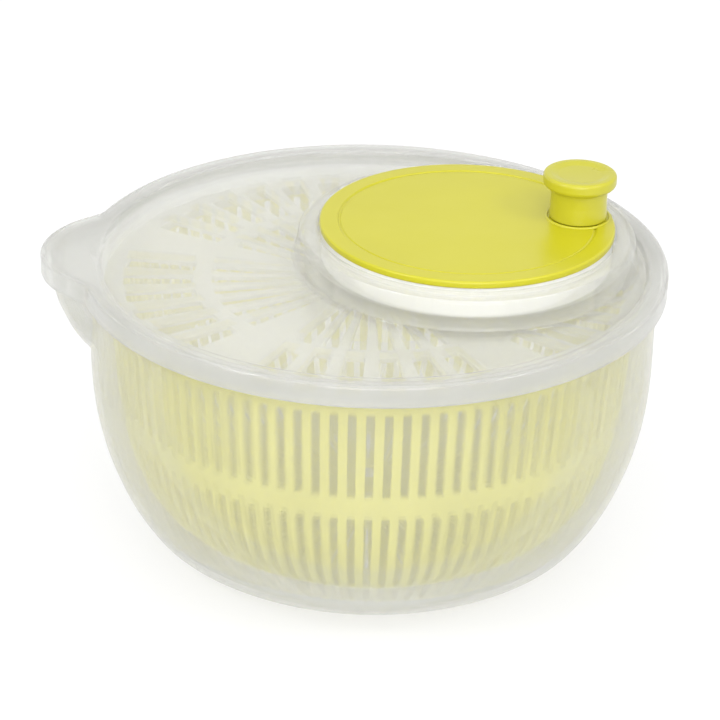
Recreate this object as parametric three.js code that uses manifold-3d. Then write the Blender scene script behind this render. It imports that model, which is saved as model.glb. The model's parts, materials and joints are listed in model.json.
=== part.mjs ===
// Salad spinner, hand crank type. Millimetres, +Z up, rest face on z = 0.
// The bowl axis is the Z axis. The pouring spout points to -X, the crank boss sits toward +X.
import * as THREE from 'three';
import { mergeVertices } from 'three/addons/utils/BufferGeometryUtils.js';
import Module from 'manifold-3d';

const wasm = await Module();
wasm.setup();

// ---------- driving dimensions ----------
const RIM_R = 112.5;            // lid skirt, outer radius
const SPOUT_REACH = 15.0;       // lid nose beyond the skirt
const SPOUT_HALF = 17.0;        // half angle of the nose, degrees
const LID_TOP = 117.0;          // top of the lid flange
const PANEL_TOP = 114.7;        // recessed lid panel
const PANEL_BOT = 112.9;
const BOSS_X = 35.1;            // crank axis
const BOSS_R = 64.0;
const BOSS_TOP = 129.0;
const WELL_R = 57.0;
const DISC_R = 56.2;
const DISC_TOP = 132.0;
const DISC_BOT = 129.3;
const KNOB_R = 43.0;            // knob axis from the crank axis
const KNOB_ANG = 9.4 * Math.PI / 180;
const TOTAL_TOP = 150.0;
const MODULE = 1.95;
const RING_TEETH = 52;
const PINION_TEETH = 16;
const BASKET_SLOTS = 40;
const COVER_TOP = 106.5;

const KX = BOSS_X + KNOB_R * Math.cos(KNOB_ANG);
const KY = KNOB_R * Math.sin(KNOB_ANG);
const D2R = Math.PI / 180;

// ---------- helpers ----------
function geo(pos, idx) {
  const g = new THREE.BufferGeometry();
  g.setAttribute('position', new THREE.Float32BufferAttribute(pos, 3));
  g.setIndex(idx);
  return g;
}
function toMan(g0) {
  let g = g0.clone();
  g.deleteAttribute('normal');
  g.deleteAttribute('uv');
  g = mergeVertices(g, 1e-4);
  const pos = g.getAttribute('position').array;
  const index = g.getIndex().array;
  return new wasm.Manifold(new wasm.Mesh({
    numProp: 3, vertProperties: new Float32Array(pos), triVerts: new Uint32Array(index) }));
}
function fromMan(m) {
  const mesh = m.getMesh();
  const p = [];
  for (let i = 0; i < mesh.numVert; i++) {
    p.push(mesh.vertProperties[i * mesh.numProp], mesh.vertProperties[i * mesh.numProp + 1],
      mesh.vertProperties[i * mesh.numProp + 2]);
  }
  return geo(p, Array.from(mesh.triVerts));
}
// solid of revolution; pts = [r, z] from the axis at the bottom, outward, back to the axis
function lathe(pts, seg, x = 0, y = 0) {
  const g = new THREE.LatheGeometry(pts.map(p => new THREE.Vector2(p[0], p[1])), seg);
  g.rotateX(Math.PI / 2);
  g.translate(x, y, 0);
  return toMan(g);
}
// ring of revolution from a closed [r, z] loop
function ring(pts, seg, x = 0, y = 0) { return lathe([...pts, pts[0]], seg, x, y); }
function box(x0, x1, y0, y1, z0, z1) {
  const g = new THREE.BoxGeometry(x1 - x0, y1 - y0, z1 - z0);
  g.translate((x0 + x1) / 2, (y0 + y1) / 2, (z0 + z1) / 2);
  return toMan(g);
}
function cyl(r, z0, z1, seg, x = 0, y = 0) { return lathe([[0, z0], [r, z0], [r, z1], [0, z1]], seg, x, y); }
function spin(m, a) { return m.rotate([0, 0, a]); }

// ---------- polar surfaces with the pouring spout ----------
// angle list: fine around the spout at 180 degrees, coarser elsewhere
const ANG = [];
for (let i = -6; i <= 6; i++) ANG.push(180 + i * SPOUT_HALF / 6);
{
  const n = 42, a0 = 180 + SPOUT_HALF, span = 360 - 2 * SPOUT_HALF;
  for (let i = 1; i < n; i++) ANG.push(a0 + span * i / n);
}
// bulge at an angle for a given strength 0..1
function bulge(aDeg, s) {
  let d = aDeg - 180;
  while (d > 180) d -= 360;
  while (d < -180) d += 360;
  const half = SPOUT_HALF * Math.sqrt(Math.max(s, 0.0001));
  const t = Math.abs(d) / half;
  return t >= 1 ? 0 : SPOUT_REACH * s * (1 - t * t);
}
// prof: [r, z, s] starting and ending on the axis (r = 0)
function polar(prof) {
  const pos = [], idx = [], n = ANG.length;
  const rings = [];
  for (const [r, z, s] of prof) {
    if (r === 0) { rings.push([pos.length / 3]); pos.push(0, 0, z); continue; }
    const start = pos.length / 3;
    for (const a of ANG) {
      const R = r + (s ? bulge(a, s) : 0);
      pos.push(R * Math.cos(a * D2R), R * Math.sin(a * D2R), z);
    }
    rings.push([start, n]);
  }
  for (let k = 0; k + 1 < rings.length; k++) {
    const A = rings[k], B = rings[k + 1];
    for (let i = 0; i < n; i++) {
      const j = (i + 1) % n;
      if (A.length === 1) idx.push(A[0], B[0] + j, B[0] + i);
      else if (B.length === 1) idx.push(A[0] + i, A[0] + j, B[0]);
      else idx.push(A[0] + i, A[0] + j, B[0] + j, A[0] + i, B[0] + j, B[0] + i);
    }
  }
  return toMan(geo(pos, idx));
}

// ---------- involute outlines ----------
function gearOutline(z, m, addendum, dedendum, thin, toothAt0) {
  const rp = m * z / 2, al = 20 * D2R, rb = rp * Math.cos(al);
  const inv = a => Math.tan(a) - a;
  const half = Math.PI / (2 * z) - thin / (2 * rp) + inv(al);
  const ra = rp + addendum, rr = rp - dedendum;
  const th = r => r <= rb ? half : half - inv(Math.acos(rb / r));
  const r1 = Math.max(rb, rr);
  const levels = z > 30 ? [rr, rp, ra] : [rr, (r1 + rp) / 2, rp, ra];
  const pts = [];
  for (let k = 0; k < z; k++) {
    const c = 2 * Math.PI * k / z + (toothAt0 ? 0 : Math.PI / z);
    for (const r of levels) pts.push([r * Math.cos(c - th(r)), r * Math.sin(c - th(r))]);
    for (const r of levels.slice().reverse()) pts.push([r * Math.cos(c + th(r)), r * Math.sin(c + th(r))]);
  }
  return pts;
}
function prism(pts, z0, z1, x = 0, y = 0) {
  const s = new THREE.Shape(pts.map(p => new THREE.Vector2(p[0] + x, p[1] + y)));
  const g = new THREE.ExtrudeGeometry(s, { depth: z1 - z0, bevelEnabled: false, steps: 1 });
  g.translate(0, 0, z0);
  return toMan(g);
}

// ---------- slotted shells (basket wall and inner cover) ----------
// rows: list of {o:[r,z], i:[r,z], cut:f} ; cut applies between this level and the next one
function slotted(levels, cols, cutAt, phase) {
  const pos = [], idx = [];
  const L = levels.length;
  const vid = (l, c, side) => (l * cols.length + ((c % cols.length) + cols.length) % cols.length) * 2 + side;
  for (let l = 0; l < L; l++) for (let c = 0; c < cols.length; c++) {
    const a = (cols[c] + phase) * D2R;
    const [ro, zo] = levels[l].o, [ri, zi] = levels[l].i;
    pos.push(ro * Math.cos(a), ro * Math.sin(a), zo, ri * Math.cos(a), ri * Math.sin(a), zi);
  }
  const open = (l, c) => l < 0 || l >= L - 1 || cutAt(l, ((c % cols.length) + cols.length) % cols.length);
  const quad = (a, b, c, d) => idx.push(a, b, c, a, c, d);
  for (let l = 0; l < L - 1; l++) for (let c = 0; c < cols.length; c++) {
    if (open(l, c)) continue;
    const A = vid(l, c, 0), B = vid(l, c + 1, 0), C = vid(l + 1, c + 1, 0), D = vid(l + 1, c, 0);
    const a = vid(l, c, 1), b = vid(l, c + 1, 1), cc = vid(l + 1, c + 1, 1), d = vid(l + 1, c, 1);
    quad(A, B, C, D);
    quad(a, d, cc, b);
    if (open(l - 1, c)) quad(A, a, b, B);
    if (open(l + 1, c)) quad(D, C, cc, d);
    if (open(l, c - 1)) quad(A, D, d, a);
    if (open(l, c + 1)) quad(B, b, cc, C);
  }
  return toMan(geo(pos, idx));
}

// ---------- bowl ----------
function makeBowl() {
  const outer = [
    [0, 0, 0], [66.5, 0, 0], [71.5, 0.9, 0], [78.5, 3.8, 0], [86.8, 9.4, 0], [94.6, 20.6, 0], [99.9, 31.9, 0],
    [104.6, 46.5, 0], [107.6, 62, 0], [108.5, 76, 0], [108.5, 80, 0.13], [108.5, 84, 0.37],
    [108.5, 88.5, 0.57], [108.5, 93, 0.71], [108.6, 98, 0.85], [109.3, 106, 0.92], [109.5, 114.3, 0.93],
    [109.0, 114.9, 0.93],
  ];
  const inner = [
    [107.7, 114.9, 0.93], [107.2, 114.3, 0.93], [106.9, 106, 0.92], [106.4, 98, 0.85], [106.3, 93, 0.71], [106.3, 88.5, 0.57],
    [106.3, 84, 0.37], [106.3, 80, 0.13], [106.3, 76, 0], [105.4, 62, 0], [102.4, 46.8, 0], [97.8, 32.7, 0], [92.6, 21.6, 0],
    [85.2, 11.0, 0], [77.5, 5.9, 0], [66.5, 2.4, 0],
  ];
  // centre boss that holds the pivot pin
  return polar([...outer, ...inner, [0, 2.4, 0]]).add(lathe([[0, 1.4], [11, 1.4], [11, 3.0], [9.4, 5.2], [8.8, 6.8], [0, 6.8]], 28))
    .subtract(cyl(2.8, 3.0, 8, 20));
}

// ---------- basket ----------
function makeBasket() {
  const n = BASKET_SLOTS, pitch = 360 / n;
  const cols = [];
  for (let i = 0; i < n; i++) { cols.push(i * pitch - pitch * 0.235); cols.push(i * pitch + pitch * 0.235); }
  const lv = [
    { o: [9.3, 9.4], i: [9.3, 15.5] },       // 0 hub skirt
    { o: [13.0, 9.4], i: [12.8, 11.8] },     // 1
    { o: [24, 9.4], i: [24, 11.2] },         // 2 floor slots begin
    { o: [56, 9.4], i: [56, 11.2] },         // 3 floor slots end
    { o: [64.5, 9.4], i: [63.9, 11.2] },     // 4
    { o: [72.0, 11.6], i: [71.1, 13.2] },    // 5 lower slots begin
    { o: [85.5, 22.6], i: [84.2, 23.9] },    // 6
    { o: [93.2, 38.5], i: [91.5, 39.2] },    // 7
    { o: [96.8, 55.0], i: [95.0, 55.3] },    // 8 lower slots end
    { o: [98.3, 65.0], i: [96.5, 65.1] },    // 9 upper slots begin
    { o: [100.9, 99.2], i: [99.1, 99.2] },   // 10 upper slots end
    { o: [101.2, 101.6], i: [99.3, 101.6] }, // 11
    { o: [103.4, 102.6], i: [99.4, 103.0] }, // 12 flange
    { o: [103.6, 104.3], i: [99.5, 104.3] },
  ];
  const cut = (l, c) => {
    if (c % 2 === 1) {                       // wide columns between bars are the ribs
      return false;
    }
    if (l === 2) return (c / 2) % 2 === 0;
    if (l >= 5 && l <= 7) return true;
    if (l === 9) return true;
    return false;
  };
  let m = slotted(lv, cols, cut, 0);
  // hub socket over the pivot cup
  const hub = ring([[8.4, 9.4], [12.3, 9.4], [12.3, 19.0], [11.5, 22.6], [5.0, 22.6], [5.0, 20.0], [8.4, 20.0]], 24);
  m = m.add(hub);
  // four notches in the flange for the lugs of the inner cover
  for (let k = 0; k < 4; k++) m = m.subtract(spin(box(98.9, 104.5, -4.3, 4.3, 102.9, 105), 45 + 90 * k));
  return m;
}

// ---------- inner cover over the basket ----------
const SPOKES = [18, 90, 162, 234, 306];
function makeCover() {
  const cols = [], kind = [];
  for (const s of SPOKES) {
    const n = 6, pitch = 9.7, a0 = s + (72 - n * pitch) / 2;
    for (let i = 0; i < n; i++) {
      cols.push(a0 + i * pitch + pitch * 0.215); kind.push(1);
      cols.push(a0 + i * pitch + pitch * 0.785); kind.push(0);
    }
    for (const d of [-3, 3]) { cols.push(s + 72 + d); kind.push(0); }
  }
  const T = COVER_TOP, B = 104.6;
  const lv = [
    { o: [10.3, B], i: [10.3, T] },
    { o: [26, B], i: [26, T] },
    { o: [62, B], i: [62, T] },
    { o: [69, B], i: [69, T] },
    { o: [95.8, B], i: [95.8, T] },
    { o: [103.6, B], i: [103.2, T] },
  ];
  const cut = (l, c) => kind[c] === 1 && (l === 1 || l === 3);
  let m = slotted(lv, cols, cut, 0);
  // locating lip inside the basket mouth
  m = m.add(ring([[96.6, 101.9], [98.5, 101.9], [98.9, 104.9], [96.6, 104.9]], 40));
  for (let k = 0; k < 4; k++) m = m.add(spin(box(99.6, 103.3, -3.9, 3.9, 103.3, 105.0), 45 + 90 * k));
  // raised hub round the drive socket
  m = m.add(ring([[9.3, 100.0], [11.6, 100.0], [11.6, 109.2], [9.3, 109.2]], 24));
  return m;
}

// ---------- drive socket and dog ----------
function starOutline(n, r0, r1, tw) {
  const pts = [];
  for (let k = 0; k < n; k++) {
    const c = 2 * Math.PI * k / n, h = Math.PI / n;
    pts.push([r1 * Math.cos(c - h * tw), r1 * Math.sin(c - h * tw)]);
    pts.push([r1 * Math.cos(c + h * tw), r1 * Math.sin(c + h * tw)]);
    pts.push([r0 * Math.cos(c + h * 0.72), r0 * Math.sin(c + h * 0.72)]);
    pts.push([r0 * Math.cos(c + h * 1.28), r0 * Math.sin(c + h * 1.28)]);
  }
  return pts;
}
function makeSocket() {
  let m = lathe([[0, 98.9], [8.4, 98.9], [9.0, 99.5], [9.0, 109.5], [0, 109.5]], 36);
  m = m.subtract(prism(starOutline(6, 5.3, 7.0, 0.42), 101.4, 110));
  return m;
}
function makeDog() {
  let m = prism(starOutline(6, 4.7, 6.4, 0.34), 102.4, 110.4);
  m = m.add(cyl(7.2, 110.2, 111.9, 36));
  m = m.subtract(box(-2.7, 2.7, -2.7, 2.7, 107.0, 113));
  m = m.subtract(cyl(1.5, 101, 108, 20));
  m = m.subtract(cyl(3.4, 101, 105.6, 24));
  return m;
}
function makePinion() {
  let m = prism(gearOutline(PINION_TEETH, MODULE, 1.5, 2.3, 0.22, true), 117.4, 122.6);
  m = m.add(cyl(4.3, 112.2, 118, 32));
  m = m.add(box(-2.4, 2.4, -2.4, 2.4, 107.6, 112.6));
  m = m.subtract(cyl(1.15, 106.5, 117, 18));
  m = m.subtract(ring([[6.5, 121.4], [11.6, 121.4], [11.6, 123.5], [6.5, 123.5]], 20));
  return m;
}

// ---------- lid ----------
function makeLid() {
  let m = polar([
    [0, PANEL_BOT, 0], [104.2, PANEL_BOT, 0], [105.4, 113.9, 0.02], [106.2, 115.2, 0.15], [110.4, 115.2, 0.99], [110.7, 114.9, 1],
    [110.8, 108.6, 1], [111.3, 108.1, 1], [112.0, 108.3, 1], [RIM_R, 109.2, 1], [RIM_R, 115.2, 1], [112.0, 116.5, 1],
    [110.9, LID_TOP, 0.99], [105.6, LID_TOP, 0.1], [104.5, 116.5, 0.02], [103.7, PANEL_TOP, 0], [0, PANEL_TOP, 0],
  ]);
  // eccentric crank boss with a rolled shoulder
  m = m.add(ring([
    [61.9, 113.6], [68.0, 113.6], [66.6, 114.9], [65.4, 116.4], [64.7, 119.0], [BOSS_R, 126.4], [63.3, 128.2], [61.8, BOSS_TOP],
    [57.4, BOSS_TOP], [WELL_R, 128.6], [WELL_R, 127.5], [57.4, 127.1], [60.9, 127.1], [61.9, 126.0],
  ], 60, BOSS_X, 0));
  // collars round the two bushes
  m = m.add(ring([[6.0, 113.5], [9.0, 113.5], [9.0, 116.3], [6.0, 116.3]], 32, 0, 0));
  m = m.add(ring([[7.0, 113.5], [10.4, 113.5], [10.4, 119.5], [7.0, 119.5]], 36, BOSS_X, 0));
  m = m.subtract(cyl(6.2, 112, 118, 32, 0, 0));
  m = m.subtract(cyl(7.2, 112, 120, 36, BOSS_X, 0));
  return m;
}
function makePinionBush() {
  return ring([[4.6, 112.5], [5.9, 112.5], [5.9, 116.6], [8.6, 116.6], [8.6, 117.1], [4.6, 117.1]], 24);
}
function makeCrankBush() {
  return ring([[5.3, 112.7], [6.9, 112.7], [6.9, 119.8], [9.6, 119.8], [9.6, 120.3], [5.3, 120.3]], 28, BOSS_X, 0);
}

// ---------- crank ----------
const RING_SCREWS = [60, 180, 300].map(a => [BOSS_X + 46.9 * Math.cos(a * D2R), 46.9 * Math.sin(a * D2R)]);
function makeDisc() {
  let m = lathe([
    [0, DISC_BOT], [55.6, DISC_BOT], [DISC_R, DISC_BOT + 0.5], [DISC_R, 131.1], [55.9, 131.7], [55.2, DISC_TOP],
    [49.4, DISC_TOP], [48.9, 131.5], [48.3, 131.5], [47.8, 131.8], [0, 131.8],
  ], 56, BOSS_X, 0);
  // centre stub running in the lid bush
  m = m.add(lathe([[0, 112.4], [5.0, 112.4], [5.0, 120.6], [8.0, 120.6], [9.0, 129.6], [0, 129.6]], 36, BOSS_X, 0));
  m = m.subtract(cyl(1.15, 112, 120, 18, BOSS_X, 0));
  // collar and boss that carry the knob
  m = m.add(ring([[11.5, 131.5], [12.7, 131.5], [12.3, 132.5], [11.5, 132.5]], 26, KX, KY));
  m = m.add(cyl(5.8, 126.6, 129.6, 28, KX, KY));
  m = m.subtract(cyl(3.3, 126, 133, 24, KX, KY));
  for (const [x, y] of RING_SCREWS) m = m.subtract(cyl(1.15, 129, 131.1, 16, x, y));
  return m;
}
function makeRingGear() {
  let m = cyl(55.4, 117.6, 129.0, 52, BOSS_X, 0);
  m = m.subtract(prism(gearOutline(RING_TEETH, MODULE, 2.35, 1.0, -0.22, true), 117, 125.9, BOSS_X, 0));
  m = m.subtract(cyl(44.2, 125, 130, 48, BOSS_X, 0));
  m = m.subtract(cyl(6.4, 125, 130, 28, KX, KY));
  for (const [x, y] of RING_SCREWS) m = m.subtract(cyl(1.3, 125, 130, 16, x, y));
  return m;
}
// pan head screw pointing up, with a cross recess below
function screw(x, y, headR, z0, z1, z2, shankR) {
  let m = lathe([[0, z0], [headR * 0.72, z0], [headR, z0 + (z1 - z0) * 0.45], [headR, z1], [shankR, z1], [shankR, z2 - shankR], [0, z2]], 12, x, y);
  const w = headR * 0.14, l = headR * 0.55, d = z0 + (z1 - z0) * 0.5;
  m = m.subtract(box(x - l, x + l, y - w, y + w, z0 - 1, d).add(box(x - w, x + w, y - l, y + l, z0 - 1, d)));
  return m;
}
function washer(x, y, r0, r1, z0, z1) { return ring([[r0, z0], [r1, z0], [r1, z1], [r0, z1]], 20, x, y); }

function makeKnob() {
  return lathe([
    [0, 126.3], [3.0, 126.3], [3.0, 132.1], [11.1, 132.1], [11.1, 133.4], [10.8, 138.0], [10.8, 143.4], [11.3, 144.4],
    [12.8, 145.1], [13.7, 146.0], [14.0, 147.2], [13.9, 148.6], [13.3, 149.6], [12.3, TOTAL_TOP], [11.2, 149.9],
    [8.0, 149.3], [0, 148.9],
  ], 26, KX, KY).subtract(cyl(1.15, 125, 131.6, 16, KX, KY));
}
function makePivotPin() {
  return lathe([[0, 3.3], [2.5, 3.3], [2.5, 15.2], [1.9, 16.2], [0, 16.6]], 18);
}
function makePivotCup() {
  return lathe([[0, 16.9], [1.6, 16.9], [2.8, 15.9], [2.8, 7.6], [10.9, 7.6], [10.9, 9.1], [8.0, 9.1], [8.0, 18.6],
    [7.6, 19.4], [4.6, 19.4], [4.6, 21.4], [3.9, 22.0], [0, 22.0]], 20);
}

// ---------- assembly ----------
const FROST = [0xe4e6e1, 0.32], LIME = [0xdbd75b, 0.38], YOLK = [0xe2da84, 0.4], POM = [0xf1f0ea, 0.45];
const STEEL = [0xb9bdc2, 0.3, 0.95];
const group = new THREE.Group();
group.name = 'salad_spinner';
function add(name, man, look) {
  const mat = new THREE.MeshStandardMaterial({ color: look[0], roughness: look[1], metalness: look[2] ?? 0 });
  const mesh = new THREE.Mesh(fromMan(man), mat);
  mesh.name = name;
  group.add(mesh);
}
add('bowl', makeBowl(), FROST);
add('pivot_pin', makePivotPin(), STEEL);
add('pivot_cup', makePivotCup(), POM);
add('basket', makeBasket(), YOLK);
add('basket_cover', makeCover(), FROST);
add('drive_socket', makeSocket(), POM);
add('lid', makeLid(), FROST);
add('pinion_bush', makePinionBush(), POM);
add('crank_bush', makeCrankBush(), POM);
add('drive_pinion', makePinion(), POM);
add('drive_dog', makeDog(), POM);
add('dog_washer', washer(0, 0, 1.4, 3.1, 104.6, 105.3), STEEL);
add('dog_screw', screw(0, 0, 2.6, 102.7, 104.3, 115.5, 0.95), STEEL);
add('crank_disc', makeDisc(), LIME);
add('ring_gear', makeRingGear(), POM);
RING_SCREWS.forEach(([x, y], i) => add('ring_gear_screw_' + (i + 1), screw(x, y, 2.3, 124.1, 125.6, 130.8, 0.95), STEEL));
add('crank_washer', washer(BOSS_X, 0, 1.4, 8.4, 111.3, 112.1), STEEL);
add('crank_screw', screw(BOSS_X, 0, 3.2, 109.3, 111.0, 119.5, 0.95), STEEL);
add('knob', makeKnob(), LIME);
add('knob_washer', washer(KX, KY, 1.4, 5.0, 125.2, 126.0), STEEL);
add('knob_screw', screw(KX, KY, 2.6, 123.4, 124.9, 131.3, 0.95), STEEL);

export default group;
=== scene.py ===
import bpy, bmesh, json, math
from mathutils import Vector, Matrix

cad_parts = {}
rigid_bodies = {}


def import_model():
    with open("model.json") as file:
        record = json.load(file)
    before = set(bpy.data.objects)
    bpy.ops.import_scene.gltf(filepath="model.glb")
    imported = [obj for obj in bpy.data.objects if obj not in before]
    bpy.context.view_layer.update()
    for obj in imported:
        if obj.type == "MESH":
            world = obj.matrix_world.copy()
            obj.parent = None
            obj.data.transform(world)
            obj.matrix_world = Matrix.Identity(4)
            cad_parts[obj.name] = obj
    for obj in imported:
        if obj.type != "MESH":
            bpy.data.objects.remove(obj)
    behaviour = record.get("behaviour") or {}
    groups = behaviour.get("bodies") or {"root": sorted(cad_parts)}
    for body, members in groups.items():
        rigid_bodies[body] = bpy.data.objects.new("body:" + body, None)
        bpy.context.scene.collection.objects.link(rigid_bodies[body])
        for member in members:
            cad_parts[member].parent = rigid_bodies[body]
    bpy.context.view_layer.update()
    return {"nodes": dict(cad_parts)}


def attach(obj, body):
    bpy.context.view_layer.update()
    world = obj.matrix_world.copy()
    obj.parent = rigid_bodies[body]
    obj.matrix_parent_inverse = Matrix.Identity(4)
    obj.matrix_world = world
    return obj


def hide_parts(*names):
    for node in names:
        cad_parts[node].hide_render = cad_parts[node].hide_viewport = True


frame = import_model()
MM = 0.001
D2R = math.pi / 180

# ------------------------------------------------------------------ dimensions (mm)
RIM_R, SPOUT_REACH, SPOUT_HALF = 112.5, 15.0, 17.0
LID_TOP, PANEL_TOP, PANEL_BOT = 117.0, 114.7, 112.9
BOSS_X = 35.1
KX = BOSS_X + 43.0 * math.cos(9.4 * D2R)
KY = 43.0 * math.sin(9.4 * D2R)


# ------------------------------------------------------------------ profile helpers
def fillet(pts, seg=5):
    """pts: (r, z, radius[, s]) open polyline; each inner corner with a radius becomes an arc."""
    out = []
    n = len(pts)
    for i, p in enumerate(pts):
        rad = p[2]
        s = p[3] if len(p) > 3 else 0.0
        if rad <= 0 or i in (0, n - 1):
            out.append((p[0], p[1], s))
            continue
        a, b, c = Vector(pts[i - 1][:2]), Vector(p[:2]), Vector(pts[i + 1][:2])
        u, v = (a - b), (c - b)
        lu, lv = u.length, v.length
        u.normalize(); v.normalize()
        ang = math.acos(max(-1, min(1, u.dot(v))))
        if ang > math.pi - 0.03:
            out.append((p[0], p[1], s))
            continue
        t = min(rad / math.tan(ang / 2), lu * 0.49, lv * 0.49)
        r = t * math.tan(ang / 2)
        bis = (u + v).normalized()
        cen = b + bis * (r / math.sin(ang / 2))
        p0, p1 = b + u * t, b + v * t
        a0 = math.atan2(p0.y - cen.y, p0.x - cen.x)
        a1 = math.atan2(p1.y - cen.y, p1.x - cen.x)
        d = a1 - a0
        while d > math.pi: d -= 2 * math.pi
        while d < -math.pi: d += 2 * math.pi
        for k in range(seg + 1):
            q = a0 + d * k / seg
            out.append((cen.x + r * math.cos(q), cen.y + r * math.sin(q), s))
    return out


def spline(pts, per=4):
    """Catmull-Rom through (r, z, s) points."""
    out = []
    n = len(pts)
    for i in range(n - 1):
        p0 = pts[max(i - 1, 0)]; p1 = pts[i]; p2 = pts[i + 1]; p3 = pts[min(i + 2, n - 1)]
        for k in range(per):
            t = k / per
            q = []
            for j in range(3):
                a, b, c, d = p0[j], p1[j], p2[j], p3[j]
                q.append(0.5 * (2 * b + (c - a) * t + (2 * a - 5 * b + 4 * c - d) * t * t + (3 * b - a - 3 * c + d) * t ** 3))
            out.append((q[0], q[1], max(0.0, q[2])))
    out.append(tuple(pts[-1]))
    return out


def spout_angles(fine, coarse):
    a = [180 + i * (SPOUT_HALF + 1.5) / fine for i in range(-fine, fine + 1)]
    a0, span = 180 + SPOUT_HALF + 1.5, 360 - 2 * (SPOUT_HALF + 1.5)
    a += [a0 + span * i / coarse for i in range(1, coarse)]
    return a


def bulge(a, s):
    if s <= 0.001:
        return 0.0
    d = (a - 180 + 180) % 360 - 180
    half = SPOUT_HALF * math.sqrt(s)
    t = abs(d) / half
    if t >= 1.12:
        return 0.0
    # parabola with a short concave blend at the foot, as a moulded corner has
    raw = 1 - t * t
    k = 0.10
    if t > 1 - k * 1.2:
        e = max(0.0, (1.12 - t) / (0.12 + k * 1.2))
        top = 1 - (1 - k * 1.2) ** 2
        raw = top * e * e
    return SPOUT_REACH * s * raw


def mesh_obj(name, verts, faces, smooth=True):
    me = bpy.data.meshes.new(name)
    me.from_pydata([(x * MM, y * MM, z * MM) for x, y, z in verts], [], faces)
    me.validate()
    bm = bmesh.new(); bm.from_mesh(me)
    bmesh.ops.recalc_face_normals(bm, faces=bm.faces)
    bm.to_mesh(me); bm.free()
    for p in me.polygons:
        p.use_smooth = smooth
    ob = bpy.data.objects.new(name, me)
    bpy.context.scene.collection.objects.link(ob)
    return ob


def sweep(name, prof, angs, cx=0.0, cy=0.0, closed=False):
    verts, rings, faces = [], [], []
    n = len(angs)
    for r, z, s in prof:
        if r <= 1e-6:
            rings.append([len(verts)]); verts.append((cx, cy, z)); continue
        st = len(verts)
        for a in angs:
            R = r + bulge(a, s)
            verts.append((cx + R * math.cos(a * D2R), cy + R * math.sin(a * D2R), z))
        rings.append(list(range(st, st + n)))
    pairs = list(zip(rings, rings[1:]))
    if closed:
        pairs.append((rings[-1], rings[0]))
    for A, B in pairs:
        for i in range(n):
            j = (i + 1) % n
            if len(A) == 1 and len(B) == 1:
                continue
            if len(A) == 1: faces.append((A[0], B[j], B[i]))
            elif len(B) == 1: faces.append((A[i], A[j], B[0]))
            else: faces.append((A[i], A[j], B[j], B[i]))
    return mesh_obj(name, verts, faces)


def slotted(name, lv, cols, cut):
    L, n = len(lv), len(cols)
    verts, faces = [], []
    for (ro, zo), (ri, zi) in lv:
        for c in cols:
            a = c * D2R
            verts.append((ro * math.cos(a), ro * math.sin(a), zo))
            verts.append((ri * math.cos(a), ri * math.sin(a), zi))
    vid = lambda l, c, s: (l * n + c % n) * 2 + s
    opn = lambda l, c: l < 0 or l >= L - 1 or cut(l, c % n)
    for l in range(L - 1):
        for c in range(n):
            if opn(l, c): continue
            A, B, C, D = vid(l, c, 0), vid(l, c + 1, 0), vid(l + 1, c + 1, 0), vid(l + 1, c, 0)
            a, b, cc, d = vid(l, c, 1), vid(l, c + 1, 1), vid(l + 1, c + 1, 1), vid(l + 1, c, 1)
            faces.append((A, B, C, D)); faces.append((a, d, cc, b))
            if opn(l - 1, c): faces.append((A, a, b, B))
            if opn(l + 1, c): faces.append((D, C, cc, d))
            if opn(l, c - 1): faces.append((A, D, d, a))
            if opn(l, c + 1): faces.append((B, b, cc, C))
    ob = mesh_obj(name, verts, faces)
    bm = bmesh.new(); bm.from_mesh(ob.data)
    loose = [v for v in bm.verts if not v.link_faces]
    bmesh.ops.delete(bm, geom=loose, context='VERTS')
    bm.to_mesh(ob.data); bm.free()
    return ob


def bake(ob):
    """Apply an object's modifiers."""
    dg = bpy.context.evaluated_depsgraph_get()
    me = bpy.data.meshes.new_from_object(ob.evaluated_get(dg))
    ob.modifiers.clear()
    old = ob.data
    ob.data = me
    bpy.data.meshes.remove(old)


def boolean(ob, tool, op):
    m = ob.modifiers.new("b", 'BOOLEAN')
    m.operation = op; m.object = tool; m.solver = 'EXACT'
    bake(ob)
    bpy.data.objects.remove(tool, do_unlink=True)


def smooth_by_angle(ob, deg=40):
    me = ob.data
    bm = bmesh.new(); bm.from_mesh(me)
    for e in bm.edges:
        if len(e.link_faces) == 2:
            e.smooth = e.calc_face_angle(0) < deg * D2R
    for f in bm.faces:
        f.smooth = True
    bm.to_mesh(me); bm.free()


def bevel(ob, width, seg=2, deg=45):
    m = ob.modifiers.new("edge", 'BEVEL')
    m.width = width * MM; m.segments = seg; m.limit_method = 'ANGLE'; m.angle_limit = deg * D2R
    m.use_clamp_overlap = True
    w = ob.modifiers.new("wn", 'WEIGHTED_NORMAL')
    w.keep_sharp = True


def ring_angs(n):
    return [360 * i / n for i in range(n)]


# ------------------------------------------------------------------ materials
def lin(c):
    return tuple(((v / 255) / 12.92 if v / 255 <= 0.04045 else ((v / 255 + 0.055) / 1.055) ** 2.4) for v in c) + (1.0,)


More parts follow.
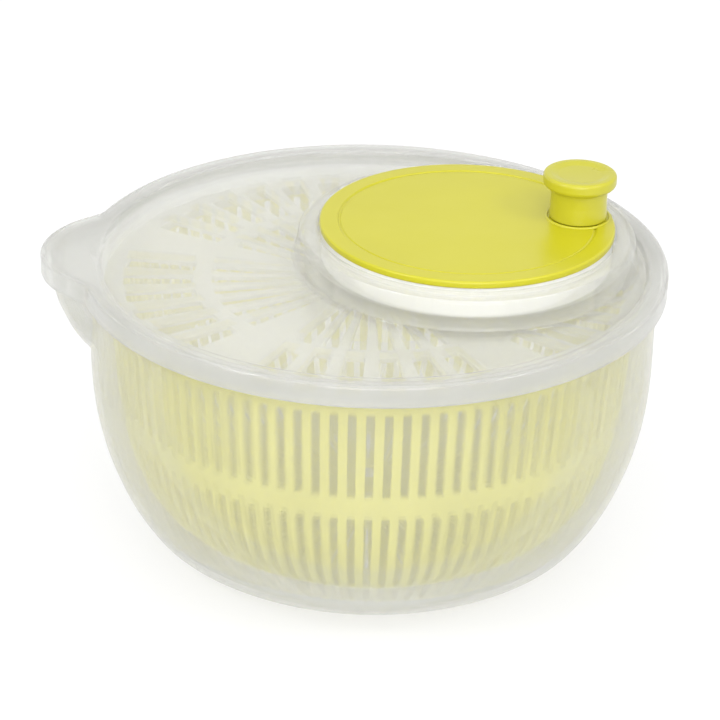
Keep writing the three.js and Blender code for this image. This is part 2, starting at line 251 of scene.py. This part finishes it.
def plastic(name, light, dark, rough, alpha=1.0, grain=900.0, bump=0.05, coat=0.0, sss=0.0, cloud=35.0,
            spec=0.5, flow=0.0, rough_var=0.08, fine=2600.0, trans=0.0, ior=1.49, rim=None, rim_trans=0.35):
    """Moulded plastic: cloudy colour variation from uneven wall density, a satin spark-eroded grain,
    faint flow marks and a slightly varying gloss."""
    m = bpy.data.materials.new(name)
    m.use_nodes = True
    nt = m.node_tree; N = nt.nodes; Lk = nt.links
    b = N["Principled BSDF"]
    tc = N.new("ShaderNodeTexCoord")
    n1 = N.new("ShaderNodeTexNoise"); n1.inputs["Scale"].default_value = cloud; n1.inputs["Detail"].default_value = 4
    n1.inputs["Roughness"].default_value = 0.55
    Lk.new(tc.outputs["Object"], n1.inputs["Vector"])
    cr = N.new("ShaderNodeValToRGB")
    cr.color_ramp.elements[0].position = 0.3; cr.color_ramp.elements[0].color = dark
    cr.color_ramp.elements[1].position = 0.7; cr.color_ramp.elements[1].color = light
    Lk.new(n1.outputs["Fac"], cr.inputs["Fac"])
    Lk.new(cr.outputs["Color"], b.inputs["Base Color"])
    n2 = N.new("ShaderNodeTexNoise"); n2.inputs["Scale"].default_value = grain; n2.inputs["Detail"].default_value = 3
    Lk.new(tc.outputs["Object"], n2.inputs["Vector"])
    mr = N.new("ShaderNodeMapRange")
    mr.inputs["To Min"].default_value = max(0.02, rough - rough_var)
    mr.inputs["To Max"].default_value = min(1.0, rough + rough_var)
    n3 = N.new("ShaderNodeTexNoise"); n3.inputs["Scale"].default_value = 60; n3.inputs["Detail"].default_value = 5
    Lk.new(tc.outputs["Object"], n3.inputs["Vector"])
    Lk.new(n3.outputs["Fac"], mr.inputs["Value"])
    Lk.new(mr.outputs["Result"], b.inputs["Roughness"])
    vo = N.new("ShaderNodeTexVoronoi"); vo.inputs["Scale"].default_value = fine
    Lk.new(tc.outputs["Object"], vo.inputs["Vector"])
    mx = N.new("ShaderNodeMath"); mx.operation = 'MULTIPLY_ADD'
    mx.inputs[1].default_value = 0.45
    Lk.new(vo.outputs["Distance"], mx.inputs[0])
    Lk.new(n2.outputs["Fac"], mx.inputs[2])
    bp = N.new("ShaderNodeBump"); bp.inputs["Strength"].default_value = bump; bp.inputs["Distance"].default_value = 0.0002
    Lk.new(mx.outputs["Value"], bp.inputs["Height"])
    last = bp
    if flow > 0:
        wv = N.new("ShaderNodeTexNoise"); wv.inputs["Scale"].default_value = 22; wv.inputs["Detail"].default_value = 2
        Lk.new(tc.outputs["Object"], wv.inputs["Vector"])
        b2 = N.new("ShaderNodeBump"); b2.inputs["Strength"].default_value = flow; b2.inputs["Distance"].default_value = 0.002
        Lk.new(wv.outputs["Fac"], b2.inputs["Height"])
        Lk.new(bp.outputs["Normal"], b2.inputs["Normal"])
        last = b2
    Lk.new(last.outputs["Normal"], b.inputs["Normal"])
    b.inputs["IOR"].default_value = ior
    b.inputs["Transmission Weight"].default_value = trans
    b.inputs["Specular IOR Level"].default_value = spec
    b.inputs["Coat Weight"].default_value = coat
    b.inputs["Coat Roughness"].default_value = 0.12
    b.inputs["Alpha"].default_value = alpha
    if rim:
        # the thick outer flange scatters more light than the thin panel
        r0, r1, hi = rim
        sx = N.new("ShaderNodeSeparateXYZ"); Lk.new(tc.outputs["Object"], sx.inputs[0])
        cx = N.new("ShaderNodeCombineXYZ"); Lk.new(sx.outputs[0], cx.inputs[0]); Lk.new(sx.outputs[1], cx.inputs[1])
        ln = N.new("ShaderNodeVectorMath"); ln.operation = 'LENGTH'; Lk.new(cx.outputs[0], ln.inputs[0])
        ma = N.new("ShaderNodeMapRange"); ma.interpolation_type = 'SMOOTHSTEP'
        ma.inputs["From Min"].default_value = r0; ma.inputs["From Max"].default_value = r1
        ma.inputs["To Min"].default_value = alpha; ma.inputs["To Max"].default_value = hi
        Lk.new(ln.outputs["Value"], ma.inputs["Value"]); Lk.new(ma.outputs["Result"], b.inputs["Alpha"])
        mt = N.new("ShaderNodeMapRange"); mt.interpolation_type = 'SMOOTHSTEP'
        mt.inputs["From Min"].default_value = r0; mt.inputs["From Max"].default_value = r1
        mt.inputs["To Min"].default_value = trans; mt.inputs["To Max"].default_value = rim_trans
        Lk.new(ln.outputs["Value"], mt.inputs["Value"]); Lk.new(mt.outputs["Result"], b.inputs["Transmission Weight"])
        mc = N.new("ShaderNodeMapRange"); mc.interpolation_type = 'SMOOTHSTEP'
        mc.inputs["From Min"].default_value = r0; mc.inputs["From Max"].default_value = r1
        mc.inputs["To Min"].default_value = 1.0; mc.inputs["To Max"].default_value = 0.84
        Lk.new(ln.outputs["Value"], mc.inputs["Value"])
        sc = N.new("ShaderNodeVectorMath"); sc.operation = 'SCALE'
        Lk.new(cr.outputs["Color"], sc.inputs[0]); Lk.new(mc.outputs["Result"], sc.inputs["Scale"])
        Lk.new(sc.outputs["Vector"], b.inputs["Base Color"])
    if sss > 0:
        b.inputs["Subsurface Weight"].default_value = sss
        b.inputs["Subsurface Radius"].default_value = (0.6, 0.6, 0.25)
        b.inputs["Subsurface Scale"].default_value = 0.004
    if alpha < 1:
        try:
            m.surface_render_method = 'BLENDED'
        except Exception:
            pass
    return m


def steel(name, rough=0.28):
    m = bpy.data.materials.new(name)
    m.use_nodes = True
    nt = m.node_tree; N = nt.nodes; Lk = nt.links
    b = N["Principled BSDF"]
    b.inputs["Metallic"].default_value = 1.0
    tc = N.new("ShaderNodeTexCoord")
    mp = N.new("ShaderNodeMapping"); mp.inputs["Scale"].default_value = (400, 400, 4000)
    Lk.new(tc.outputs["Object"], mp.inputs["Vector"])
    n = N.new("ShaderNodeTexNoise"); n.inputs["Scale"].default_value = 1.0; n.inputs["Detail"].default_value = 4
    Lk.new(mp.outputs["Vector"], n.inputs["Vector"])
    cr = N.new("ShaderNodeValToRGB")
    cr.color_ramp.elements[0].color = (0.42, 0.43, 0.45, 1); cr.color_ramp.elements[1].color = (0.66, 0.67, 0.69, 1)
    Lk.new(n.outputs["Fac"], cr.inputs["Fac"]); Lk.new(cr.outputs["Color"], b.inputs["Base Color"])
    mr = N.new("ShaderNodeMapRange"); mr.inputs["To Min"].default_value = rough - 0.08; mr.inputs["To Max"].default_value = rough + 0.14
    Lk.new(n.outputs["Fac"], mr.inputs["Value"]); Lk.new(mr.outputs["Result"], b.inputs["Roughness"])
    bp = N.new("ShaderNodeBump"); bp.inputs["Strength"].default_value = 0.15; bp.inputs["Distance"].default_value = 0.00005
    Lk.new(n.outputs["Fac"], bp.inputs["Height"]); Lk.new(bp.outputs["Normal"], b.inputs["Normal"])
    return m


FROST_BOWL = plastic("frosted_bowl", (0.73, 0.735, 0.71, 1), (0.695, 0.70, 0.675, 1), 0.22, alpha=0.59, trans=0.72, ior=1.16, bump=0.03, coat=0.2, flow=0.012, rough_var=0.03)
FROST_LID = plastic("frosted_lid", (0.89, 0.892, 0.86, 1), (0.86, 0.862, 0.83, 1), 0.22, alpha=0.50, trans=0.70, ior=1.18, bump=0.03, coat=0.55, flow=0.012, rough_var=0.03,
                    rim=(0.1035, 0.1062, 0.84), rim_trans=0.66)
FROST_COVER = plastic("frosted_cover", (0.95, 0.95, 0.91, 1), (0.92, 0.92, 0.88, 1), 0.34, alpha=0.72, trans=0.45, ior=1.2, bump=0.04, coat=0.1, flow=0.015)
YELLOW = plastic("basket_yellow", (0.92, 0.868, 0.15, 1), (0.88, 0.828, 0.125, 1), 0.34, alpha=0.96, bump=0.05, coat=0.15, flow=0.03)
LIME = plastic("crank_lime", (0.495, 0.465, 0.010, 1), (0.465, 0.435, 0.008, 1), 0.33, bump=0.06, coat=0.08, sss=0.12, flow=0.03, cloud=20)
LIME_KNOB = plastic("knob_lime", (0.47, 0.445, 0.022, 1), (0.44, 0.415, 0.018, 1), 0.30, bump=0.05, coat=0.12, sss=0.15, flow=0.02, cloud=30)
POM = plastic("acetal_white", (0.86, 0.86, 0.83, 1), (0.80, 0.80, 0.77, 1), 0.38, bump=0.06, coat=0.0, sss=0.1)
STEEL = steel("steel")


def give(ob, mat):
    ob.data.materials.clear()
    ob.data.materials.append(mat)


# ------------------------------------------------------------------ bowl
outer_w = [(66.5, 0.0, 0), (69.0, 0.2, 0), (72.5, 1.2, 0), (78.3, 3.8, 0), (86.8, 9.5, 0), (91.2, 15.0, 0), (94.6, 20.6, 0),
           (97.5, 26.2, 0), (99.9, 31.9, 0), (102.0, 37.5, 0), (103.8, 43.1, 0), (105.2, 48.7, 0), (106.4, 54.3, 0), (107.3, 59.9, 0),
           (107.9, 65.5, 0), (108.3, 71.2, 0), (108.5, 76.5, 0.0), (108.5, 80, 0.13), (108.5, 84, 0.37), (108.5, 88.5, 0.57),
           (108.5, 93, 0.71), (108.6, 98, 0.85), (109.0, 103, 0.90), (109.35, 108, 0.925), (109.5, 113.6, 0.93)]
inner_w = [(107.2, 113.6, 0.93), (107.0, 108, 0.925), (106.8, 103, 0.90), (106.4, 98, 0.85), (106.3, 93, 0.71), (106.3, 88.5, 0.57),
           (106.3, 84, 0.37), (106.3, 80, 0.13), (106.2, 76.5, 0.0), (106.0, 71.2, 0), (105.6, 65.5, 0), (105.0, 59.9, 0), (104.1, 54.3, 0),
           (102.9, 48.9, 0), (101.5, 43.4, 0), (99.7, 38.0, 0), (97.7, 32.6, 0), (95.3, 27.0, 0), (92.4, 21.6, 0),
           (89.1, 16.4, 0), (85.0, 11.2, 0), (77.3, 6.0, 0), (72.0, 3.6, 0), (68.5, 2.6, 0), (65.5, 2.4, 0)]
prof = [(0, 0, 0), (40, 0, 0)] + spline(outer_w, 4) + [(109.35, 114.3, 0.93), (108.9, 114.75, 0.93), (108.3, 114.9, 0.93), (107.8, 114.75, 0.93), (107.35, 114.3, 0.93)] \
    + spline(inner_w, 4) + [(40, 2.4, 0), (12.0, 2.4, 0), (11.0, 2.6, 0), (10.2, 3.4, 0), (9.4, 5.2, 0), (9.0, 6.4, 0), (8.5, 6.8, 0), (3.2, 6.8, 0), (2.8, 6.5, 0), (2.8, 3.0, 0), (0, 3.0, 0)]
bowl = sweep("bowl_shell", prof, spout_angles(22, 170))
give(bowl, FROST_BOWL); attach(bowl, "bowl"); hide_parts("bowl")

# ------------------------------------------------------------------ basket
NS = 96
P = 360 / NS
cols = []
for i in range(NS):
    cols += [i * P - P * 0.23, i * P + P * 0.23]
wall = [((9.3, 9.4), (9.3, 15.5)), ((13.0, 9.4), (12.8, 11.8)), ((16, 9.4), (16, 11.2)), ((24, 9.4), (24, 11.2)), ((40, 9.4), (40, 11.2)),
        ((56, 9.4), (56, 11.2)), ((62.0, 9.4), (61.6, 11.2)), ((65.5, 9.8), (64.9, 11.5)), ((69.0, 10.5), (68.2, 12.2)), ((72.0, 11.6), (71.1, 13.2)),
        ((79.5, 16.6), (78.4, 18.0)), ((85.5, 22.7), (84.2, 24.0)), ((89.9, 29.8), (88.3, 30.8)), ((93.1, 38.3), (91.4, 39.0)),
        ((95.3, 46.5), (93.5, 46.9)), ((96.8, 55.0), (95.0, 55.2)), ((97.6, 60.0), (95.8, 60.1)), ((98.3, 65.0), (96.5, 65.0)),
        ((99.4, 78.0), (97.6, 78.0)), ((100.2, 89.0), (98.4, 89.0)), ((100.9, 99.6), (99.1, 99.6)), ((101.2, 101.6), (99.3, 101.6)),
        ((101.5, 102.3), (99.35, 102.4)), ((103.3, 102.6), (99.4, 103.0)), ((103.6, 103.0), (99.5, 103.8)), ((103.4, 104.2), (99.8, 104.3))]


def bcut(l, c):
    if c % 2: return False
    z0 = wall[l][0][1]; r0 = wall[l][0][0]
    if 24 <= r0 < 56 and l < 6: return (c // 2) % 4 < 2
    if 9 <= l <= 14: return True
    if 17 <= l <= 19: return True
    return False


basket = slotted("basket_shell", wall, cols, bcut)
bevel(basket, 0.3, 2, 50)
hub = sweep("basket_hub", fillet([(8.4, 9.4, 0), (12.3, 9.4, 0), (12.3, 19.0, 1.5), (11.5, 22.6, 1.5), (5.0, 22.6, 0.3), (5.0, 20.0, 0.2), (8.4, 20.0, 0)]),
            ring_angs(96), closed=True)
give(basket, YELLOW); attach(basket, "basket"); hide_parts("basket")
give(hub, YELLOW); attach(hub, "basket")

# ------------------------------------------------------------------ inner cover
ccols, kind = [], []
for s in (18, 90, 162, 234, 306):
    pitch = 9.7
    a0 = s + (72 - 6 * pitch) / 2
    for i in range(6):
        c0 = a0 + i * pitch
        ccols += [c0 + pitch * f for f in (0.215, 0.36, 0.5, 0.64)]; kind += [1, 1, 1, 1]
        ccols += [c0 + pitch * f for f in ((0.785, 0.93, 1.07) if i < 5 else (0.785,))]; kind += [0, 0, 0] if i < 5 else [0]
    b0 = a0 + 5 * pitch + 0.785 * pitch
    b1 = s + 72 + (72 - 6 * pitch) / 2 + 0.215 * pitch
    for k in range(1, 9):
        ccols.append(b0 + (b1 - b0) * k / 9); kind.append(0)
T, B = 106.5, 104.6
cl = [((9.3, B), (9.3, T)), ((26, B), (26, T)), ((44, B), (44, T)), ((62, B), (62, T)), ((69, B), (69, T)), ((82, B), (82, T)), ((95.8, B), (95.8, T)),
      ((98.0, B), (98.0, T)), ((103.4, B), (103.0, T)), ((103.6, 104.9), (103.5, 106.1))]
cover = slotted("cover_plate", cl, ccols, lambda l, c: kind[c] == 1 and l in (1, 2, 4, 5))
bevel(cover, 0.35, 2, 50)
give(cover, FROST_COVER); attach(cover, "cover"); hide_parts("basket_cover")
lip = sweep("cover_lip", fillet([(96.8, 104.55, 0), (96.8, 101.9, 0.5), (98.4, 101.9, 0.5), (98.8, 104.55, 0)]), ring_angs(192), closed=False)
chub = sweep("cover_hub", fillet([(9.35, 104.55, 0), (9.35, 100.0, 0.4), (11.6, 100.0, 0.8), (11.6, 109.2, 0.8), (9.35, 109.2, 0.4), (9.35, 104.56, 0)]), ring_angs(96), closed=False)
for o in (lip, chub):
    give(o, FROST_COVER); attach(o, "cover")

# ------------------------------------------------------------------ lid
lp = fillet([(0, PANEL_BOT, 0), (60, PANEL_BOT, 0, 0), (104.2, PANEL_BOT, 1.5, 0), (106.2, 115.2, 1.0, 0.15), (110.7, 115.2, 0.5, 0.99), (110.8, 108.2, 0.25, 1.0),
             (112.4, 108.2, 0.9, 1.0), (112.5, 117.0, 1.8, 1.0), (104.9, 117.0, 0.9, 0.05), (103.7, PANEL_TOP, 0.9, 0.0), (60, PANEL_TOP, 0, 0), (0, PANEL_TOP, 0)], 6)
lid = sweep("lid_shell", lp, spout_angles(22, 170))
boss = sweep("boss", fillet([(61.9, 113.6, 0), (70.0, 113.6, 0), (70.6, PANEL_TOP - 0.02, 0), (66.0, 115.9, 6.0), (64.0, 129.0, 3.0), (57.0, 129.0, 0.7), (57.0, 127.1, 0.7),
                             (61.9, 127.1, 1.2)], 6), ring_angs(160), cx=BOSS_X, closed=True)
boolean(lid, boss, 'UNION')
c1 = sweep("c1", [(6.2, 113.5, 0), (9.0, 113.5, 0), (9.0, 116.0, 0), (8.7, 116.3, 0), (6.2, 116.3, 0)], ring_angs(72), closed=True)
boolean(lid, c1, 'UNION')
c2 = sweep("c2", [(7.2, 113.5, 0), (10.4, 113.5, 0), (10.4, 119.2, 0), (10.1, 119.5, 0), (7.2, 119.5, 0)], ring_angs(72), cx=BOSS_X, closed=True)
boolean(lid, c2, 'UNION')
h1 = sweep("h1", [(0, 112, 0), (6.2, 112, 0), (6.2, 118, 0), (0, 118, 0)], ring_angs(72))
boolean(lid, h1, 'DIFFERENCE')
h2 = sweep("h2", [(0, 112, 0), (7.2, 112, 0), (7.2, 121, 0), (0, 121, 0)], ring_angs(72), cx=BOSS_X)
boolean(lid, h2, 'DIFFERENCE')
smooth_by_angle(lid, 35)
w = lid.modifiers.new("wn", 'WEIGHTED_NORMAL'); w.keep_sharp = True; w.mode = 'FACE_AREA_WITH_ANGLE'
give(lid, FROST_LID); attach(lid, "lid"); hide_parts("lid")

# ------------------------------------------------------------------ crank disc
dp = fillet([(0, 129.3, 0), (50, 129.3, 0), (56.2, 129.3, 0.5), (56.2, 132.0, 0.9), (49.4, 132.0, 0.35), (48.95, 131.45, 0.15), (48.35, 131.45, 0.15), (48.0, 131.8, 0.35), (30, 131.8, 0), (0, 131.8, 0)], 5)
disc = sweep("crank_plate", dp, ring_angs(180), cx=BOSS_X)
stub = sweep("stub", [(0, 112.4, 0), (4.7, 112.4, 0), (5.0, 112.7, 0), (5.0, 120.6, 0), (8.0, 120.6, 0), (9.0, 129.5, 0), (0, 129.5, 0)], ring_angs(72), cx=BOSS_X)
boolean(disc, stub, 'UNION')
kb = sweep("kb", [(0, 126.6, 0), (5.8, 126.6, 0), (5.8, 129.5, 0), (0, 129.5, 0)], ring_angs(48), cx=KX, cy=KY)
boolean(disc, kb, 'UNION')
bore = sweep("bore", [(0, 112, 0), (1.15, 112, 0), (1.15, 120, 0), (0, 120, 0)], ring_angs(24), cx=BOSS_X)
boolean(disc, bore, 'DIFFERENCE')
kbore = sweep("kbore", [(0, 126, 0), (3.3, 126, 0), (3.3, 133, 0), (0, 133, 0)], ring_angs(48), cx=KX, cy=KY)
boolean(disc, kbore, 'DIFFERENCE')
for k in range(3):
    a = (60 + 120 * k) * D2R
    sb = sweep("sb", [(0, 129, 0), (1.15, 129, 0), (1.15, 131.1, 0), (0, 131.1, 0)], ring_angs(20), cx=BOSS_X + 46.9 * math.cos(a), cy=46.9 * math.sin(a))
    boolean(disc, sb, 'DIFFERENCE')
smooth_by_angle(disc, 35)
w = disc.modifiers.new("wn", 'WEIGHTED_NORMAL'); w.keep_sharp = True; w.mode = 'FACE_AREA_WITH_ANGLE'
give(disc, LIME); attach(disc, "crank"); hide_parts("crank_disc")
collar = sweep("knob_collar", fillet([(11.4, 131.7, 0), (11.5, 132.0, 0.2), (12.1, 132.5, 0.3), (12.7, 131.7, 0.3), (13.1, 131.75, 0)], 4), ring_angs(96), cx=KX, cy=KY)
give(collar, LIME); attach(collar, "crank")

# ------------------------------------------------------------------ knob
kp = fillet([(0, 126.3, 0), (3.0, 126.3, 0.3), (3.0, 132.1, 0.2), (11.1, 132.1, 0.5), (10.75, 138.5, 4), (10.8, 144.3, 1.4), (14.0, 145.0, 2.0), (14.0, 150.0, 2.2),
             (11.2, 149.9, 1.2), (8.5, 149.2, 4), (0, 148.8, 0)], 6)
knob = sweep("knob_grip", kp, ring_angs(120), cx=KX, cy=KY)
w = knob.modifiers.new("wn", 'WEIGHTED_NORMAL'); w.mode = 'FACE_AREA_WITH_ANGLE'
give(knob, LIME_KNOB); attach(knob, "knob"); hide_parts("knob")

# ------------------------------------------------------------------ carried-over CAD nodes
look = {}
for n in ("pivot_pin", "dog_washer", "dog_screw", "ring_gear_screw_1", "ring_gear_screw_2", "ring_gear_screw_3", "crank_washer",
          "crank_screw", "knob_washer", "knob_screw"):
    look[n] = STEEL
for n in ("pivot_cup", "drive_socket", "pinion_bush", "crank_bush", "drive_pinion", "drive_dog", "ring_gear"):
    look[n] = POM
for n, mat in look.items():
    o = frame["nodes"][n]
    o = o if hasattr(o, "data") else bpy.data.objects[n]
    o.data.materials.clear(); o.data.materials.append(mat)
    m = o.modifiers.new("edge", 'BEVEL'); m.width = 0.00012; m.segments = 2; m.limit_method = 'ANGLE'; m.angle_limit = 35 * D2R
    m.use_clamp_overlap = True

# ------------------------------------------------------------------ stage, lights, camera
me = bpy.data.meshes.new("floor")
me.from_pydata([(-6, -6, 0), (6, -6, 0), (6, 6, 0), (-6, 6, 0)], [], [(0, 1, 2, 3)])
floor = bpy.data.objects.new("floor", me); bpy.context.scene.collection.objects.link(floor)
fm = bpy.data.materials.new("floor"); fm.use_nodes = True
fb = fm.node_tree.nodes["Principled BSDF"]
fb.inputs["Base Color"].default_value = (0.30, 0.30, 0.30, 1); fb.inputs["Roughness"].default_value = 0.6
fb.inputs["Specular IOR Level"].default_value = 0.1
fb.inputs["Emission Color"].default_value = (1, 1, 1, 1); fb.inputs["Emission Strength"].default_value = 0.66
me.materials.append(fm)

wd = bpy.data.worlds.new("w"); bpy.context.scene.world = wd; wd.use_nodes = True
wd.node_tree.nodes["Background"].inputs["Color"].default_value = (1, 1, 1, 1)
wd.node_tree.nodes["Background"].inputs["Strength"].default_value = 0.97


def area(name, loc, target, size, power, col=(1, 1, 1), size_y=None):
    l = bpy.data.lights.new(name, 'AREA'); l.energy = power; l.size = size; l.color = col
    if size_y:
        l.shape = 'RECTANGLE'; l.size_y = size_y
    o = bpy.data.objects.new(name, l); bpy.context.scene.collection.objects.link(o)
    o.location = loc
    d = (Vector(target) - Vector(loc)).normalized()
    o.rotation_euler = d.to_track_quat('-Z', 'Y').to_euler()
    return o


area("key_left", (-0.75, -0.55, 0.95), (0, 0, 0.08), 0.3, 3.5)
area("key_right", (0.8, -0.5, 0.9), (0, 0, 0.08), 0.28, 2.5)
area("top", (0, -0.45, 1.35), (0, 0, 0.1), 0.9, 2.5)
area("front", (0.1, -1.6, 0.65), (0, 0, 0.08), 1.2, 15.0)

el, roll, dist = 26.34 * D2R, 1.4144 * D2R, 1.1228
Tg = Vector((-0.00434, 0, 0.07165))
back = Vector((0, -math.cos(el), math.sin(el)))
right = Vector((1, 0, 0)); up = Vector((0, math.sin(el), math.cos(el)))
r2 = right * math.cos(roll) + up * math.sin(roll)
u2 = -right * math.sin(roll) + up * math.cos(roll)
C = Tg + back * dist
cam = bpy.data.cameras.new("cam"); cam.lens = 2884.1 / 720 * 36; cam.sensor_width = 36; cam.clip_end = 30
co = bpy.data.objects.new("cam", cam); bpy.context.scene.collection.objects.link(co)
M = Matrix(((r2.x, u2.x, back.x, C.x), (r2.y, u2.y, back.y, C.y), (r2.z, u2.z, back.z, C.z), (0, 0, 0, 1)))
co.matrix_world = M
bpy.context.scene.camera = co
bpy.context.scene.view_settings.view_transform = 'Standard'
bpy.context.scene.view_settings.look = 'None'
bpy.context.scene.view_settings.exposure = 0.0


bpy.context.view_layer.update()
